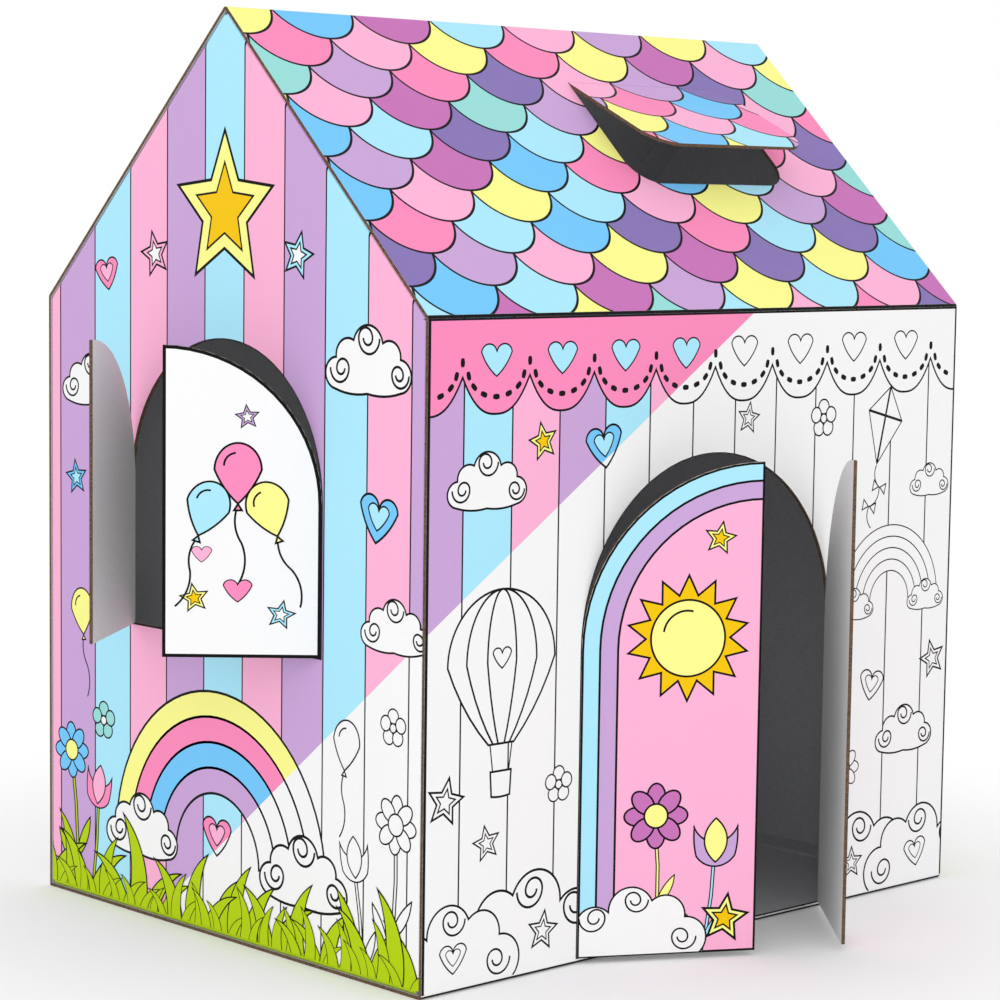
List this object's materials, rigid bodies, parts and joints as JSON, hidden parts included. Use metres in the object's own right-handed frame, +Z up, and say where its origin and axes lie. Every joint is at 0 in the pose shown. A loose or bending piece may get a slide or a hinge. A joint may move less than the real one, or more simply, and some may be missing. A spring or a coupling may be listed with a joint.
{
  "type": "cardboard playhouse",
  "caption": "Playhouse of printed corrugated board with a pitched roof, arched door leaves, a shuttered arched window and a skylight flap that lifts.",
  "frame": {"origin": "middle of the floor's underside, where the house stands on the ground", "axes": "+Z up, -Y towards the door side, -X towards the gable with the window"},
  "size_m": [1.0392, 0.858, 1.078],
  "materials": {
    "wrap_board": "satin",
    "gable_board": "satin",
    "door_board": "satin",
    "shutter_board": "satin",
    "skylight_board": "satin"
  },
  "bodies": {
    "house": {"wrap_sheet": "wrap_board", "left_gable_panel": "gable_board", "right_gable_panel": "gable_board"},
    "door_left": {"door_leaf_left": "door_board"},
    "door_right": {"door_leaf_right": "door_board"},
    "shutter_back": {"window_shutter_back": "shutter_board"},
    "shutter_front": {"window_shutter_front": "shutter_board"},
    "skylight": {"skylight_flap": "skylight_board"}
  },
  "joints": [
    {"name": "door_left_crease", "type": "hinge", "parent": "house", "child": "door_left", "pos_m": [-0.213, -0.35, 0], "axis": [0, 0, -1], "range_deg": [-30, 135]},
    {"name": "door_right_crease", "type": "hinge", "parent": "house", "child": "door_right", "pos_m": [0.213, -0.35, 0], "axis": [0, 0, 1], "range_deg": [-48, 117]},
    {"name": "shutter_back_crease", "type": "hinge", "parent": "house", "child": "shutter_back", "pos_m": [-0.45, 0.177, 0], "axis": [0, 0, -1], "range_deg": [-52, 113]},
    {"name": "shutter_front_crease", "type": "hinge", "parent": "house", "child": "shutter_front", "pos_m": [-0.45, -0.177, 0], "axis": [0, 0, 1], "range_deg": [-48, 117]},
    {"name": "skylight_crease", "type": "hinge", "parent": "house", "child": "skylight", "pos_m": [0, -0.07244, 1.00962], "axis": [-1, 0, 0], "range_deg": [-19, 101]}
  ]
}
